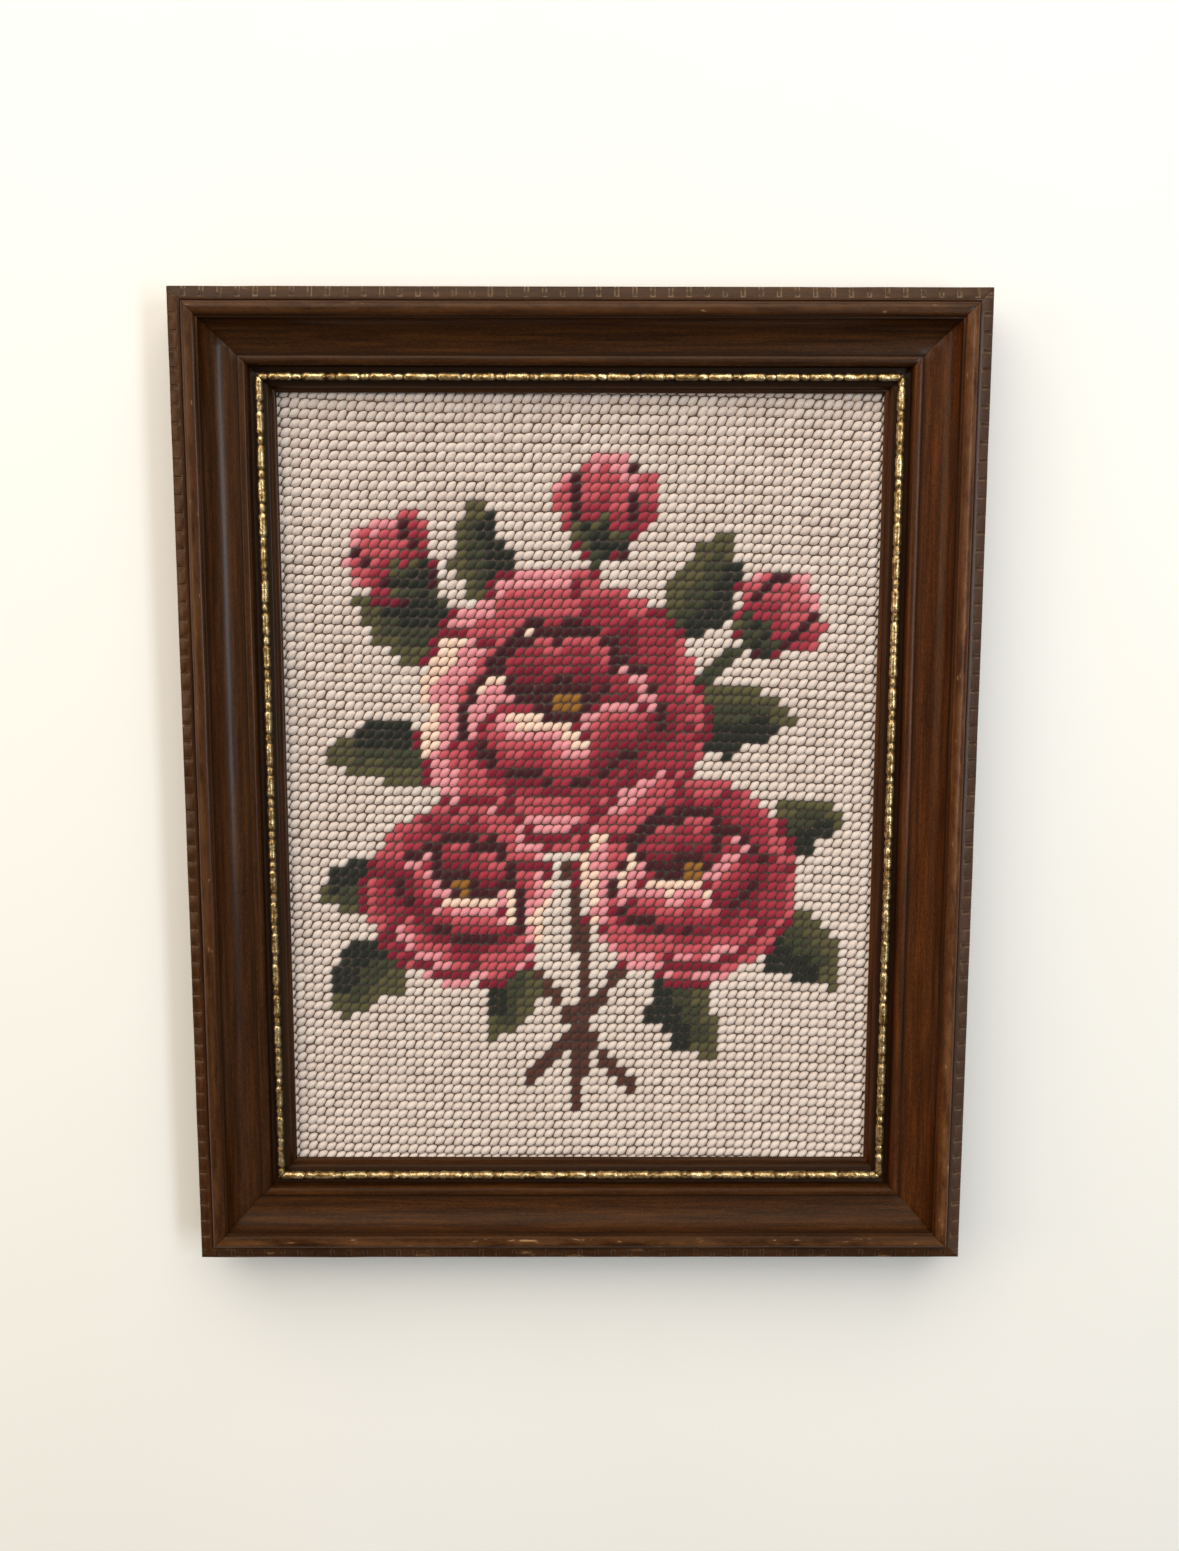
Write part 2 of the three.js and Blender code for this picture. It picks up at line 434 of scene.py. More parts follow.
notches = {
    "pitch": 4.55 * mm,
    "width": 0.9 * mm,
    "reach": 2.6 * mm,
    "depth": 0.38 * mm,
    "overhang": 2 * mm,
    "endSpace": 3 * mm,
    "slope": math.atan2(0.6, 2.7),  # the outer strip's, up and across
    "foot": 18.3 * mm,
    "round": 0.22 * mm,
    "uneven": 0.03 * mm,  # how far a notch may stray from its place
    "line": (0.3 * mm, 0.06 * mm),  # how far from a notch's side the pale line begins and is full
    "stripUp": (17.5 * mm, 17.9 * mm),  # the outer strip's dust and painted sheen and its lines fade in between these
    "stripAcross": (3.7 * mm, 3.4 * mm),
}


def sectionPlaces():
    places = []
    for stretch in moulding["section"]:
        end = Vector(stretch["to"])
        if "pull" in stretch:
            start, pull = places[-1], Vector(stretch["pull"])
            for k in range(1, stretch["steps"]):
                t = k / stretch["steps"]
                places.append(start * (1 - t) ** 2 + pull * 2 * t * (1 - t) + end * t ** 2)
        places.append(end)
    return [Vector((0, p.x * mm, p.y * mm)) for p in places]


def drawSection(name, places):
    # one vertex is drawn out along the section, then the loop is closed and filled
    clearSelection()
    bpy.ops.mesh.primitive_plane_add(size=mm, location=places[0])
    piece = nameNew(name)
    bpy.ops.object.mode_set(mode="EDIT")
    bpy.ops.mesh.merge(type="CENTER")
    for here, there in zip(places, places[1:]):
        bpy.ops.mesh.extrude_region_move(TRANSFORM_OT_translate={"value": there - here})
    ends = (places[0], places[-1])
    selectWhere(piece, lambda at: min((at - end).length for end in ends) < 0.01 * mm)
    bpy.ops.mesh.edge_face_add()
    bpy.ops.mesh.select_all(action="SELECT")
    bpy.ops.mesh.edge_face_add()
    return piece


def makeNotchCutter(length):
    clearSelection()
    n = notches
    size = (n["width"], n["reach"] + n["overhang"], n["overhang"])
    turn = Matrix.Rotation(n["slope"], 4, "X")
    middle = turn @ Vector((0, size[1] / 2 - n["overhang"], size[2] / 2 - n["depth"]))
    count = 2 * math.floor((length / 2 - n["endSpace"]) / n["pitch"]) + 1
    first = -(count - 1) / 2 * n["pitch"]
    place = middle + Vector((first, 0, n["foot"]))
    bpy.ops.mesh.primitive_cube_add(size=1, location=place, rotation=(n["slope"], 0, 0), scale=size)
    cutter = nameNew("notchCutter")
    applyModifier(cutter, "BEVEL", width=n["round"], segments=2)
    applyModifier(
        cutter, "ARRAY", count=count, use_relative_offset=False,
        use_constant_offset=True, constant_offset_displace=(n["pitch"], 0, 0),
    )
    places = pointsOf(cutter)
    which = np.rint((places[:, 0] - first) / n["pitch"]).astype(int)
    shifts = luck.uniform(-1, 1, (count, 2)) * n["uneven"]
    places[:, :2] += shifts[which]
    setPoints(cutter, places)
    return cutter


def fieldOf(spots, across, up):
    total = np.zeros(len(across))
    for spot in spots:
        far = np.hypot(across / mm - spot["at"][0], up / mm - spot["at"][1])
        total = np.maximum(total, spot["much"] * np.exp(-((far / spot["spread"]) ** 2)))
    return total


def makeRail(row, material):
    m = moulding
    side, turn, length = row["side"], row["turn"], row["length"]
    rail = drawSection("wood_" + side, sectionPlaces())
    bpy.ops.transform.translate(value=(-length / 2 - m["spare"], 0, 0))
    stations = math.ceil((length + 2 * m["spare"]) / m["station"])
    step = (length + 2 * m["spare"]) / stations
    for _ in range(stations):
        bpy.ops.mesh.extrude_region_move(TRANSFORM_OT_translate={"value": (step, 0, 0)})
    for end in (-1, 1):
        cutAway((end * (length / 2 - m["gap"]), 0, 0), (end, 1, 0))
    faceOutwards()
    cutter = makeNotchCutter(length)
    applyModifier(rail, "BOOLEAN", operation="DIFFERENCE", solver="EXACT", object=cutter)
    bpy.data.objects.remove(cutter)
    applyModifier(
        rail, "BEVEL", width=m["edge"], segments=2, limit_method="ANGLE",
        angle_limit=math.radians(m["edgeAngle"]),
    )
    places = pointsOf(rail)
    storeValues(rail, "railPlace", places)
    storeValues(rail, "wear", fieldOf(m["wear"], places[:, 1], places[:, 2]))
    storeValues(rail, "hollowShade", fieldOf(m["hollowShade"], places[:, 1], places[:, 2]))
    roughen(rail, m["uneven"], m["unevenSize"], turn * m["unevenSeed"], m["unevenUp"])
    place = Matrix.Translation((0, -row["distance"], 0))
    rail.data.transform(Matrix.Rotation(turn, 4, "Z") @ place)
    smoothByAngle(rail, m["smoothAngle"])
    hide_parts("rail_" + side)
    finishPiece(rail, material)


outside = cadBox[1] - cadBox[0]

# the four sides: matt is added to the roughness, ticks is how much the notches' pale lines show, and
# soiled how far the side's gilt is darkened: painted shade on its flank towards the cloth, and its necks
# shade is painted light and shade: darker on the top, bottom and left rails, lighter on the right
sides = [
    {
        "side": "bottom", "length": outside.x, "distance": outside.y / 2, "turn": 0.0, "warmth": 0.2,
        "shade": 0.76, "rubbed": 1.0, "chips": 0.62, "coat": (0.0, 0.2), "matt": 0.1, "dustAndSheen": 0.1,
        "ticks": 0.25, "soiledAndShaded": 0.5,
    },
    {
        "side": "right", "length": outside.y, "distance": outside.x / 2, "turn": math.pi / 2, "warmth": 0.8,
        "shade": 1.35, "rubbed": 1.0, "chips": 0.65, "coat": (0.08, 0.16), "matt": 0.0, "dustAndSheen": 0.6,
        "ticks": 0.38, "soiledAndShaded": 0.3,
    },
    {
        "side": "top", "length": outside.x, "distance": outside.y / 2, "turn": math.pi, "warmth": 0.1,
        "shade": 0.68, "rubbed": 0.5, "chips": 0.68, "coat": (0.08, 0.16), "matt": 0.0, "dustAndSheen": 0.1,
        "ticks": 0.6, "soiledAndShaded": 1.0,
    },
    {
        "side": "left", "length": outside.y, "distance": outside.x / 2, "turn": -math.pi / 2,
        "warmth": 0.35, "shade": 0.83, "rubbed": 0.6, "chips": 0.68, "coat": (0.16, 0.22), "matt": 0.0,
        "dustAndSheen": 0.0, "ticks": 0.18, "soiledAndShaded": 0.9,
    },
]
for row in sides:
    wood = makeStainedWood("stainedWood" + row["side"].title(), row)
    makeRail(row, wood)
    print("rail made:", row["side"])


# The gilt strip: reels with a small bead between each two, pressed by hand and lumpy

giltStrip = {
    "across": 21.7 * mm,
    "up": 12.7 * mm,
    "foot": 1.1 * mm,  # from the centre line down to the flat underside
    "pitch": 8.7 * mm,
    "gap": 0.1 * mm,
    "sides": 14,
    "stations": [  # share of a unit, radius in mm
        (0.00, 0.82), (0.02, 0.83), (0.05, 0.99), (0.09, 1.11), (0.15, 1.12), (0.25, 1.07), (0.36, 1.05),
        (0.47, 1.07), (0.58, 1.12), (0.64, 1.11), (0.68, 1.00), (0.71, 0.83), (0.74, 0.81), (0.77, 0.88),
        (0.81, 0.99), (0.86, 1.03), (0.91, 0.99), (0.96, 0.89), (1.00, 0.82),
    ],
    "merge": 0.01 * mm,
    "smoothAngle": 50,
    "lumps": 0.14 * mm,
    "lumpSize": 1.7 * mm,
    "lumpSeed": 3,
    "lumpsUp": (-1.1 * mm, -0.1 * mm),  # the underside stays flat
    "shadeUp": (0.3 * mm, 0.9 * mm),  # painted shade below the first height, and none above the second
    "shadeLean": 0.35,  # how much higher that is for each step towards the cloth
    "darkNeckRadius": (0.79 * mm, 0.87 * mm),  # darker in the necks, full colour on beads and reels
    "colours": [(0.36, tint(112, 82, 44)), (0.47, tint(176, 143, 90)), (0.6, tint(232, 207, 156))],
    "speck": tint(66, 42, 22),
    # painted shade on the flank towards the cloth, and the necks' darkening
    "soilAndShade": tint(42, 27, 14),
    "speckFrom": (0.66, 0.73),
    "metallic": 0.9,
    "roughness": (0.42, 0.17),
    "bump": (0.5, 0.3 * mm),
    "patterns": {"patches": (700, 4, 0.6), "specks": (2200, 3, 0.6), "dents": (1500, 3, 0.5)},
}


def makeGilt():
    material, tree, shader = newMaterial("gilt")
    g, patterns = giltStrip, giltStrip["patterns"]
    place = objectPlace(tree)
    patches = addNoise(tree, place, *patterns["patches"])
    specks = addNoise(tree, place, *patterns["specks"])
    # painted shade on the cloth-facing flank, and darker necks
    soilAndShade = readAttribute(tree, "soilAndShade")
    colour = addRamp(tree, patches, g["colours"])
    colour = addMix(tree, addRampValue(tree, specks, *g["speckFrom"]), colour, g["speck"])
    gloss = addSpread(tree, patches, *g["roughness"])
    setInputs(tree, shader, {
        "Base Color": addMix(tree, soilAndShade, colour, g["soilAndShade"]),
        "Metallic": g["metallic"],
        "Roughness": addMath(tree, "MAXIMUM", gloss, soilAndShade),
        "Normal": addBump(tree, addNoise(tree, place, *patterns["dents"]), *g["bump"]),
    })
    return material


def makeGiltUnit(pitch):
    # a ring of vertices is drawn out along x and scaled at each station
    g = giltStrip
    clearSelection()
    first = g["stations"][0][1] * mm
    bpy.ops.mesh.primitive_circle_add(vertices=g["sides"], radius=first, rotation=(0, math.pi / 2, 0))
    unit = nameNew("giltUnit")
    bpy.ops.object.mode_set(mode="EDIT")
    bpy.ops.mesh.select_all(action="SELECT")
    for (at, radius), (nextAt, nextRadius) in zip(g["stations"], g["stations"][1:]):
        bpy.ops.mesh.extrude_region_move(TRANSFORM_OT_translate={"value": ((nextAt - at) * pitch, 0, 0)})
        grow = nextRadius / radius
        bpy.ops.transform.resize(value=(1, grow, grow), center_override=(nextAt * pitch, 0, 0))
    bpy.ops.object.mode_set(mode="OBJECT")
    return unit


def soilAndShadeOf(places):
    # y is inwards and z up: the flank that faces the cloth gets painted shade, and the narrow necks are
    # darker
    g = giltStrip
    inwards, up = places[:, 1], places[:, 2]
    level = np.interp(up - g["shadeLean"] * inwards, g["shadeUp"], (0, 1))
    thick = np.interp(np.hypot(inwards, up), g["darkNeckRadius"], (0, 1))
    return 1 - level * thick


def makeGiltStrip(row, material):
    g = giltStrip
    side, turn = row["side"], row["turn"]
    length = row["length"] - 2 * g["across"]
    units = round(length / g["pitch"])
    pitch = length / units
    strip = makeGiltUnit(pitch)
    strip.name = "gilt_" + side
    strip.data.name = strip.name
    applyModifier(
        strip, "ARRAY", count=units + 2, use_relative_offset=False, use_constant_offset=True,
        constant_offset_displace=(pitch, 0, 0), use_merge_vertices=True, merge_threshold=g["merge"],
    )
    strip.data.transform(Matrix.Translation((-length / 2 - pitch, 0, 0)))
    bpy.ops.object.mode_set(mode="EDIT")
    for end in (-1, 1):
        cutAway((end * (length / 2 - g["gap"]), 0, 0), (end, 1, 0))
    cutAway((0, 0, -g["foot"]), (0, 0, -1))
    faceOutwards()
    storeValues(strip, "soilAndShade", soilAndShadeOf(pointsOf(strip)) * row["soiledAndShaded"])
    roughen(strip, g["lumps"], g["lumpSize"], g["lumpSeed"] + turn, g["lumpsUp"])
    place = Matrix.Translation((0, g["across"] - row["distance"], g["up"]))
    strip.data.transform(Matrix.Rotation(turn, 4, "Z") @ place)
    smoothByAngle(strip, g["smoothAngle"])
    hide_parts("gilt_strip_" + side)
    finishPiece(strip, material)


gilt = makeGilt()
for row in sides:
    makeGiltStrip(row, gilt)
print("gilt strips made")


# The backing board, plain and brown

hardboard = {
    "edge": 0.4 * mm,
    "smoothAngle": 40,
    "colours": [(0.35, tint(96, 65, 43)), (0.5, tint(117, 81, 54)), (0.66, tint(137, 98, 66))],
    "roughness": 0.75,
    "bump": (0.4, 0.2 * mm),
    "cloudShare": 0.25,
    "clouds": (30, 3, 0.5),  # scale, detail and roughness
    "fibres": (900, 6, 0.7),
}


def makeHardboard():
    material, tree, shader = newMaterial("hardboard")
    place = objectPlace(tree)
    fibres = addNoise(tree, place, *hardboard["fibres"])
    clouds = addNoise(tree, place, *hardboard["clouds"])
    share = hardboard["cloudShare"]
    mixed = addWeighted(tree, [(clouds, share), (fibres, 1 - share)])
    setInputs(tree, shader, {
        "Base Color": addRamp(tree, mixed, hardboard["colours"]),
        "Roughness": hardboard["roughness"],
        "Normal": addBump(tree, fibres, *hardboard["bump"]),
    })
    return material


boardLow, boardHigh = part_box("backing_board")
clearSelection()
bpy.ops.mesh.primitive_cube_add(
    size=1, location=(boardLow + boardHigh) / 2, scale=boardHigh - boardLow,
)
board = nameNew("board")
applyModifier(board, "BEVEL", width=hardboard["edge"], segments=3)
smoothByAngle(board, hardboard["smoothAngle"])
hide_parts("backing_board")
finishPiece(board, makeHardboard())
print("board made")


# The flower chart: a posy of roses and buds, worked out on the grid of stitches.
# Places and sizes are in stitches from the middle of the picture, angles in degrees.

shades = {
    "ground": (tint(236, 223, 212), tint(220, 202, 190)),
    "cream": (tint(252, 226, 204), tint(244, 208, 186)),
    "blush": (tint(238, 164, 168), tint(226, 142, 150)),
    "salmon": (tint(206, 92, 100), tint(192, 78, 90)),
    "rose": (tint(172, 50, 66), tint(156, 40, 58)),
    "crimson": (tint(138, 20, 44), tint(120, 16, 40)),
    "wine": (tint(74, 10, 22), tint(60, 8, 18)),
    "ochre": (tint(168, 116, 40), tint(146, 94, 30)),
    "olive": (tint(96, 90, 54), tint(82, 78, 46)),
    "leafGreen": (tint(66, 68, 42), tint(56, 58, 36)),
    "bottleGreen": (tint(34, 38, 24), tint(27, 31, 20)),
    "stemBrown": (tint(92, 50, 38), tint(76, 40, 30)),
}
shadeNames = list(shades)

chartSize = {"columns": 64, "rows": 90}

petalShape = {  # in shares of the petal's length or half width, but for its edge
    "droop": 0.30,  # how far the rim falls back at the sides
    "notch": 0.10,
    "notchWide": 0.18,
    "footWide": 0.42,
    "edge": (0.8, 0.7),  # how many stitches the dark edge adds to its length and half width
    "waves": (0.07, 7),  # how strongly the tints' borders wave, and how often
    "slant": 0.10,
    "leastRim": 0.1,
    "tintFrom": (0.22, 0.86),  # where the second and the last tint begin
    "small": 0.6,  # a petal shorter than this has a wine edge
}
leafShape = {
    "bulge": (0.8, 0.7),  # how near its foot it is widest, and how full it is
    "teeth": (0.12, 19),
    "shadow": -0.12,
    "light": (0.42, 0.12),  # the lit side: how far out it begins, and how far along
    "tip": (0.78, -0.4),
}
stemOverlap = 0.3  # stitches

# a rose's petals, back ones first: all in shares of its radius, angles in degrees
rosePetals = [
    {"foot": (0.05, 0.20), "angle": 62, "size": (0.82, 0.62), "tints": "wine crimson rose salmon"},
    {"foot": (-0.10, 0.20), "angle": 118, "size": (0.84, 0.66), "tints": "wine rose salmon blush"},
    {"foot": (0.20, 0.00), "angle": 8, "size": (0.84, 0.60), "tints": "wine crimson rose salmon"},
    {"foot": (-0.22, 0.00), "angle": 172, "size": (0.84, 0.64), "tints": "crimson rose salmon blush cream"},
    {"foot": (0.12, -0.16), "angle": -52, "size": (0.88, 0.66), "tints": "wine crimson rose salmon"},
    {"foot": (-0.14, -0.16), "angle": 236, "size": (0.88, 0.70), "tints": "crimson rose salmon blush"},
    {"foot": (0.00, -0.22), "angle": -88, "size": (0.70, 0.52), "tints": "wine crimson rose salmon blush"},
    {"foot": (0.10, 0.02), "angle": 38, "size": (0.52, 0.52), "tints": "wine crimson rose blush"},
    {"foot": (-0.10, 0.02), "angle": 140, "size": (0.54, 0.54), "tints": "wine rose blush cream"},
    {"foot": (0.00, 0.06), "angle": 88, "size": (0.50, 0.44), "tints": "wine crimson rose salmon"},
]
roseHeart = [
    {"at": (0.01, 0.08), "size": (0.20, 0.17), "tint": "wine"},
    {"at": (0.03, 0.06), "size": (0.11, 0.09), "tint": "ochre"},
]
roseCup = [
    {"foot": (0.22, -0.02), "angle": -66, "size": (0.46, 0.42), "tints": "blush salmon rose crimson wine"},
    {"foot": (-0.14, -0.02), "angle": 250, "size": (0.50, 0.50), "tints": "cream blush salmon rose wine"},
]
roses = [
    {"at": (-2.0, 8.0), "radius": 14.5, "turn": 6, "flip": 1},
    {"at": (-13.0, -11.5), "radius": 9.5, "turn": -24, "flip": -1},
    {"at": (11.5, -9.5), "radius": 11.0, "turn": 20, "flip": 1},
]
# a bud's petals in shares of its size, turned from its own angle by radians
budPetals = [
    {"lean": 0.36, "size": (0.90, 0.34), "tints": "crimson rose salmon blush", "edge": "crimson"},
    {"lean": -0.36, "size": (0.92, 0.34), "tints": "wine crimson rose salmon", "edge": "crimson"},
    {"lean": 0, "size": (1.00, 0.30), "tints": "crimson rose salmon blush", "edge": "wine"},
]
budLeaves = {"leans": (-43, 0, 43), "long": 0.42, "wide": 2.2}
buds = [
    {"foot": (2.0, 24.5), "angle": 84, "size": 11.0},
    {"foot": (-17.0, 20.5), "angle": 128, "size": 9.5},
    {"foot": (17.5, 15.5), "angle": 44, "size": 9.5},
]
leaves = [
    {"foot": (-12, 17), "angle": 168, "long": 12, "wide": 7.0, "bend": 0.12},
    {"foot": (9, 16), "angle": 62, "long": 13, "wide": 7.0, "bend": -0.12},
    {"foot": (-8, 19), "angle": 104, "long": 12, "wide": 6.0, "bend": 0.10},
    {"foot": (10, 5), "angle": 12, "long": 13, "wide": 7.5, "bend": 0.10},
    {"foot": (-14, 2), "angle": 176, "long": 13, "wide": 7.0, "bend": -0.10},
    {"foot": (-20, -9), "angle": 200, "long": 9, "wide": 6.0, "bend": 0.10},
    {"foot": (-18, -17), "angle": 226, "long": 12, "wide": 7.0, "bend": -0.10},
    {"foot": (20, -6), "angle": 22, "long": 9, "wide": 6.0, "bend": 0.10},
    {"foot": (18, -15), "angle": -32, "long": 12, "wide": 7.5, "bend": 0.10},
    {"foot": (10, -18), "angle": -66, "long": 13, "wide": 7.0, "bend": -0.12},
    {"foot": (-8, -17), "angle": 262, "long": 11, "wide": 6.0, "bend": 0.12},
]
stems = [
    {"tint": "stemBrown", "wide": 0.75, "route": [(-1, -8), (0.5, -20), (-0.5, -36)]},
    {"tint": "stemBrown", "wide": 0.65, "route": [(-9, -16), (-2, -24), (6, -34)]},
    {"tint": "stemBrown", "wide": 0.65, "route": [(7, -16), (1, -25), (-6, -33)]},
    {"tint": "leafGreen", "wide": 0.6, "route": [(1, 18), (2, 26)]},
    {"tint": "leafGreen", "wide": 0.6, "route": [(-10, 15), (-18, 22)]},
    {"tint": "leafGreen", "wide": 0.6, "route": [(10, 9), (18, 16)]},
]


def chartPlaces():
    across = np.arange(chartSize["columns"]) - (chartSize["columns"] - 1) / 2
    upwards = np.arange(chartSize["rows"]) - (chartSize["rows"] - 1) / 2
    return np.meshgrid(across, upwards)


chartX, chartY = chartPlaces()
chart = np.zeros(chartX.shape, int)


def seenFrom(place, angle):
    dx, dy = chartX - place[0], chartY - place[1]
    c, s = math.cos(angle), math.sin(angle)
    return dx * c + dy * s, -dx * s + dy * c


def paint(where, name):
    chart[where] = shadeNames.index(name)


def paintPetal(foot, angle, long, wide, tints, edge="crimson"):
    # a fan, narrow at its foot and notched at its rim, shaded from its foot to its rim
    p = petalShape
    along, across = seenFrom(foot, angle)
    a, b = along / long, across / wide
    rim = 1 - p["droop"] * b ** 2 - p["notch"] * np.exp(-((b / p["notchWide"]) ** 2))
    spread = p["footWide"] + (1 - p["footWide"]) * np.sqrt(np.clip(a, 0, 1))
    inside = (a > 0) & (a < rim) & (abs(b) < spread)
    moreLong, moreWide = p["edge"][0] / long, p["edge"][1] / wide
    around = (a > 0) & (a < rim + moreLong) & (abs(b) < spread + moreWide) & (chart > 0)
    paint(around & ~inside, edge)
    strength, often = p["waves"]
    level = a / np.maximum(rim, p["leastRim"]) + strength * np.sin(often * b + long) - p["slant"] * b
    names = tints.split()
    lows = [-np.inf, *np.linspace(*p["tintFrom"], len(names) - 1)]
    for name, low in zip(names, lows):
        paint(inside & (level >= low), name)


def roseFoot(rose, petal):
    turn = math.radians(rose["turn"])
    x, y = petal["foot"][0] * rose["flip"] * rose["radius"], petal["foot"][1] * rose["radius"]
    c, s = math.cos(turn), math.sin(turn)
    angle = math.radians(petal["angle"]) if rose["flip"] > 0 else math.pi - math.radians(petal["angle"])
    return (rose["at"][0] + x * c - y * s, rose["at"][1] + x * s + y * c), angle + turn


def paintRose(rose):
    radius = rose["radius"]
    for petal in rosePetals:
        foot, angle = roseFoot(rose, petal)
        long, wide = petal["size"][0] * radius, petal["size"][1] * radius
        edge = "wine" if petal["size"][0] < petalShape["small"] else "crimson"
        paintPetal(foot, angle, long, wide, petal["tints"], edge)
    for spot in roseHeart:
        place = (rose["at"][0] + spot["at"][0] * radius, rose["at"][1] + spot["at"][1] * radius)
        along, across = seenFrom(place, math.radians(rose["turn"]))
        wide, high = spot["size"][0] * radius, spot["size"][1] * radius
        paint((along / wide) ** 2 + (across / high) ** 2 < 1, spot["tint"])
    for petal in roseCup:
        foot, angle = roseFoot(rose, petal)
        paintPetal(foot, angle, petal["size"][0] * radius, petal["size"][1] * radius, petal["tints"])


def paintBud(bud):
    angle, size = math.radians(bud["angle"]), bud["size"]
    for petal in budPetals:
        long, wide = petal["size"][0] * size, petal["size"][1] * size
        paintPetal(bud["foot"], angle + petal["lean"], long, wide, petal["tints"], petal["edge"])
    for lean in budLeaves["leans"]:
        leaf = {"foot": bud["foot"], "angle": bud["angle"] + lean, "bend": 0}
        paintLeaf({**leaf, "long": size * budLeaves["long"], "wide": budLeaves["wide"]})


def paintLeaf(leaf):
    along, across = seenFrom(leaf["foot"], math.radians(leaf["angle"]))
    a = along / leaf["long"]
    middle = leaf["bend"] * leaf["long"] * a * (1 - a) * 4
    b = (across - middle) / (leaf["wide"] / 2)
    (widest, fullness), (depth, often) = leafShape["bulge"], leafShape["teeth"]
    edge = np.sin(math.pi * np.clip(a, 0, 1) ** widest) ** fullness * (1 + depth * np.sin(a * often))
    inside = (a > 0) & (a < 1) & (abs(b) < edge)
    (out, on), (tip, tipOut) = leafShape["light"], leafShape["tip"]
    paint(inside, "leafGreen")
    paint(inside & (b < leafShape["shadow"]), "bottleGreen")
    paint(inside & (b > out * edge) & (a > on), "olive")
    paint(inside & (a > tip) & (b > tipOut), "olive")


def paintStem(stem):
    for (x0, y0), (x1, y1) in zip(stem["route"], stem["route"][1:]):
        length = math.hypot(x1 - x0, y1 - y0)
        along, across = seenFrom((x0, y0), math.atan2(y1 - y0, x1 - x0))
        within = (along > -stemOverlap) & (along < length + stemOverlap)
        paint(within & (abs(across) < stem["wide"]), stem["tint"])


for stem in stems:
    paintStem(stem)
for leaf in leaves:
    paintLeaf(leaf)
for rose in roses:
    paintRose(rose)
for bud in buds:
    paintBud(bud)
print("chart painted:", {name: int((chart == k).sum()) for k, name in enumerate(shadeNames)})


# The canvas: an even-weave sheet, stretched over the board, and nearly hidden by the wool

canvas = {
    "solidFace": 8.3 * mm,  # how high the solid cloth's face lies
    "under": 1.22 * mm,  # how far below that the canvas lies
    "thick": 0.8 * mm,
    "wave": 0.16 * mm,
    "waveSize": 34 * mm,
    "waveSeed": 0.4,
    "fade": 8,  # the waves die away over the outer eighth of each half
    "squares": 60,
    "smoothAngle": 40,
    # darker brown than raw canvas: partly the canvas, partly painted shade in the gaps between stitches
    "colours": [(0.3, tint(84, 66, 54)), (0.7, tint(128, 106, 90))],
    "roughness": 0.95,
    "bump": (0.6, 0.3 * mm),
    "fluff": (1200, 4, 0.6),
}
clothLow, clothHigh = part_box("needlepoint_cloth")
clothSize = clothHigh - clothLow
canvasFace = canvas["solidFace"] - canvas["under"]


def clothRise(x, y):
    # gentle hills and hollows that die away at the edges
    far = max(abs(x) / clothHigh.x, abs(y) / clothHigh.y)
    fade = min(1.0, (1 - min(far, 1)) * canvas["fade"])
    size = canvas["waveSize"]
    return canvas["wave"] * fade * noise.noise(Vector((x / size, y / size, canvas["waveSeed"])))


def makeCanvasMaterial():
    material, tree, shader = newMaterial("canvas")
    place = objectPlace(tree)
    parts = addNode(tree, "ShaderNodeSeparateXYZ", {"Vector": place})
    threads = 2 * math.pi / (stitch["pitch"] / 2)
    wovenX = addMath(tree, "SINE", addMath(tree, "MULTIPLY", parts.outputs["X"], threads))
    wovenY = addMath(tree, "SINE", addMath(tree, "MULTIPLY", parts.outputs["Y"], threads))
    fluff = addNoise(tree, place, *canvas["fluff"])
    setInputs(tree, shader, {
        "Base Color": addRamp(tree, fluff, canvas["colours"]),
        "Roughness": canvas["roughness"],
        "Normal": addBump(tree, addMath(tree, "MAXIMUM", wovenX, wovenY), *canvas["bump"]),
    })
    return material


stitch = {
    "pitch": 2.54 * mm,
    "wide": 1.24 * mm,  # half of each
    "high": 1.27 * mm,
    "rise": 1.3 * mm,
    "mostRise": 1.1,  # no stitch rises more than this many times as far
    "slant": 0.5,
    "segments": 12,
    "rings": 8,
    "foot": 0.2,  # where the ball is cut, in radii under its middle
    "ballTurn": 15,  # degrees, so that vertices lie on its four corners
    "squareness": 3.5,
    "drop": 2.3 * mm,  # how far the rows fall at the right edge, and rise at the left
    "warp": 0.5 * mm,
    "warpSize": 45 * mm,
    "warpSeed": 7,
    "place": 0.06 * mm,  # how much places, angles and sizes vary
    "turn": 2.6,
    "size": 0.035,
    "hide": 106.8 * mm,  # no stitch is made past this, under the rebate
    "strandsApart": 90,  # how far apart in the wool's pattern two stitches may lie
}


def makeCanvas():
    clearSelection()
    squares = canvas["squares"]
    bpy.ops.mesh.primitive_grid_add(
        x_subdivisions=squares, y_subdivisions=squares, size=1, location=(0, 0, canvasFace),
    )
    bpy.ops.transform.resize(value=(clothSize.x, clothSize.y, 1))
    piece = nameNew("canvas")
    places = pointsOf(piece)
    places[:, 2] += [clothRise(x, y) for x, y, z in places]
    setPoints(piece, places)
    applyModifier(piece, "SOLIDIFY", thickness=canvas["thick"], offset=-1)
    smoothByAngle(piece, canvas["smoothAngle"])
    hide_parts("needlepoint_cloth")
    finishPiece(piece, makeCanvasMaterial())
    return piece


